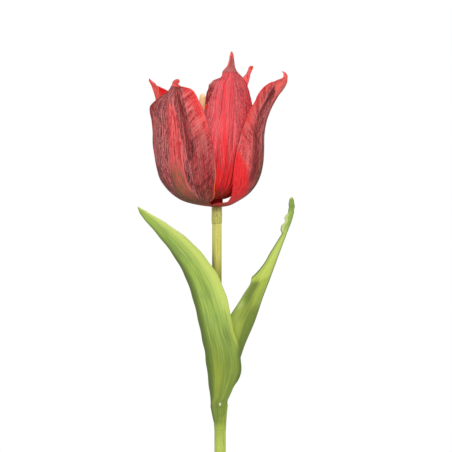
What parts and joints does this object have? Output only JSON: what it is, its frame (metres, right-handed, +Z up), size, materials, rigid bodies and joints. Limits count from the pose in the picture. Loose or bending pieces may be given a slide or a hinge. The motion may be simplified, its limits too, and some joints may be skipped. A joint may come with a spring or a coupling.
{
  "type": "artificial tulip",
  "caption": "Artificial tulip with a pointed, streaked cup of petals, a bendable wired stem and two long leaves that open out from a collar; stands in a vase or foam.",
  "frame": {"origin": "middle of the stem's cut end", "axes": "+Z up along the stem towards the flower; the flower is seen from -Y looking along +Y, with +X to the right"},
  "size_m": [0.0811, 0.059, 0.4],
  "materials": {
    "lower_stem": "satin, light green",
    "upper_stem": "satin, yellow-olive",
    "steel_wire": "drawn steel",
    "leaf_wire": "green-coated wire, satin",
    "leaf": "coated cloth with moulded veins, satin",
    "neck_sleeve": "translucent, smooth",
    "core": "matte, dark red",
    "outer_petal": "printed cloth with moulded veins, matte",
    "inner_petal": "printed cloth with moulded veins, matte",
    "pistil": "matte, pale green",
    "stigma": "matte, cream",
    "filament": "matte, pale yellow-green",
    "anther": "matte, cream"
  },
  "bodies": {
    "stem": {"lower_stem_cover": "lower_stem", "upper_stem_cover": "upper_stem", "stem_wire": "steel_wire", "leaf_collar": "leaf"},
    "neck": {"neck_sleeve": "neck_sleeve"},
    "head": {"flower_core": "core", "outer_petal_front_left": "outer_petal", "outer_petal_right": "outer_petal", "outer_petal_back": "outer_petal", "inner_petal_front": "inner_petal", "inner_petal_back_right": "inner_petal", "inner_petal_left": "inner_petal", "pistil": "pistil", "stigma": "stigma", "filament_1": "filament", "filament_2": "filament", "filament_3": "filament", "filament_4": "filament", "filament_5": "filament", "filament_6": "filament", "anther_1": "anther", "anther_2": "anther", "anther_3": "anther", "anther_4": "anther", "anther_5": "anther", "anther_6": "anther"},
    "left_leaf": {"left_leaf": "leaf", "left_leaf_wire": "leaf_wire"},
    "right_leaf": {"right_leaf": "leaf", "right_leaf_wire": "leaf_wire"}
  },
  "joints": [
    {"name": "stem_bend", "type": "hinge", "parent": "stem", "child": "neck", "pos_m": [-0.0017, 0, 0.2914], "axis": [1, 0, 0], "range_deg": [-40, 40], "deforming": ["upper_stem_cover", "stem_wire"]},
    {"name": "head_turn", "type": "hinge", "parent": "neck", "child": "head", "pos_m": [-0.0017, 0, 0.3194], "axis": [0, 0, 1], "continuous": true},
    {"name": "left_leaf_bend", "type": "hinge", "parent": "stem", "child": "left_leaf", "pos_m": [-0.00194, -0.00417, 0.2173], "axis": [0.9063, -0.4226, 0], "range_deg": [0, 35]},
    {"name": "right_leaf_bend", "type": "hinge", "parent": "stem", "child": "right_leaf", "pos_m": [0.00375, 0, 0.2173], "axis": [0, 1, 0], "range_deg": [0, 30]}
  ]
}
